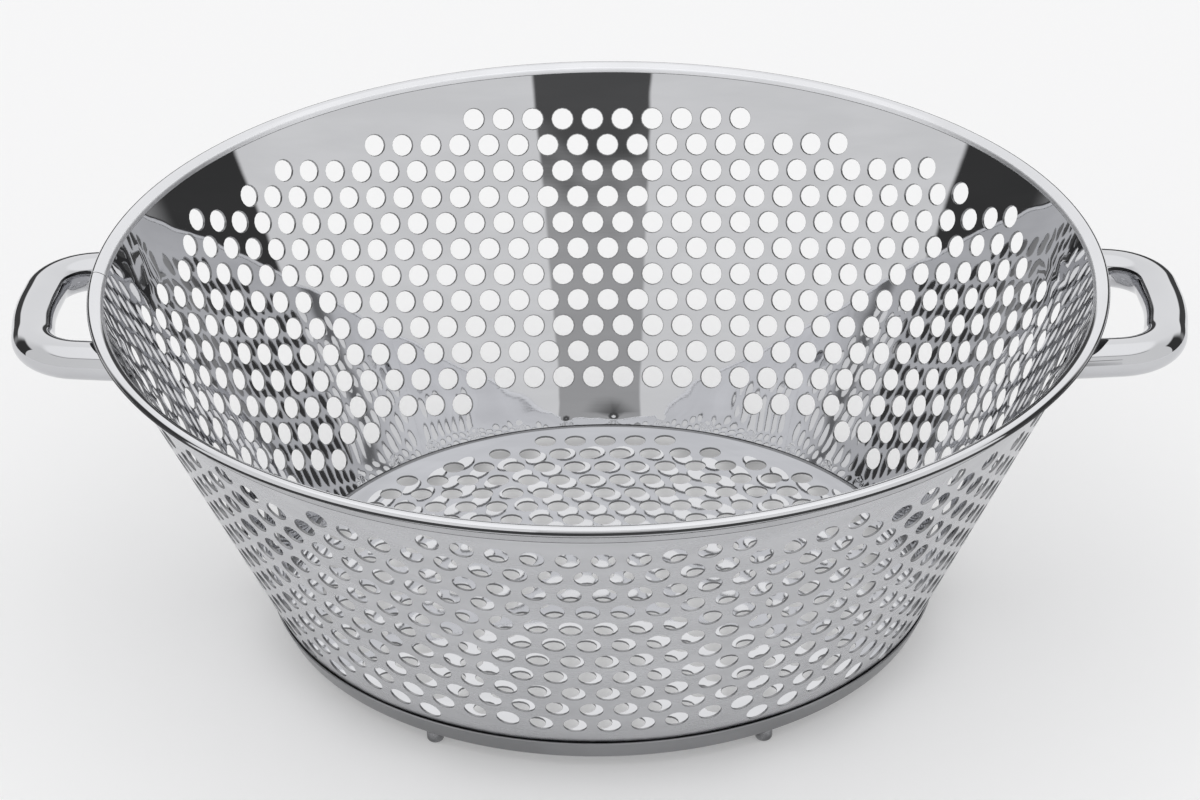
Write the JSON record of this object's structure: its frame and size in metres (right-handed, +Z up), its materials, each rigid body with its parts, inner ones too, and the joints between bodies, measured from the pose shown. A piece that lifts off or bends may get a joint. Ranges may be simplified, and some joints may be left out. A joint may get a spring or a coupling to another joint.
{
  "type": "colander",
  "caption": "Round conical colander of punched stainless steel sheet with a rolled rim ring, two bent bar handles and small stud feet.",
  "frame": {"origin": "on the table, under the middle of the floor", "axes": "+X from the left handle to the right one, +Y to the back, +Z up out of the bowl"},
  "size_m": [0.2884, 0.2498, 0.0914],
  "materials": {
    "wall_sheet": "bright inside, satin outside",
    "floor_sheet": "satin",
    "rim": "polished",
    "handle": "polished",
    "foot": "polished"
  },
  "bodies": {
    "root": {"wall_front": "wall_sheet", "wall_back": "wall_sheet", "floor_pan": "floor_sheet", "rim_ring": "rim", "handle_left": "handle", "handle_right": "handle", "foot_1": "foot", "foot_2": "foot", "foot_3": "foot", "foot_4": "foot", "foot_5": "foot", "foot_6": "foot"}
  },
  "joints": []
}
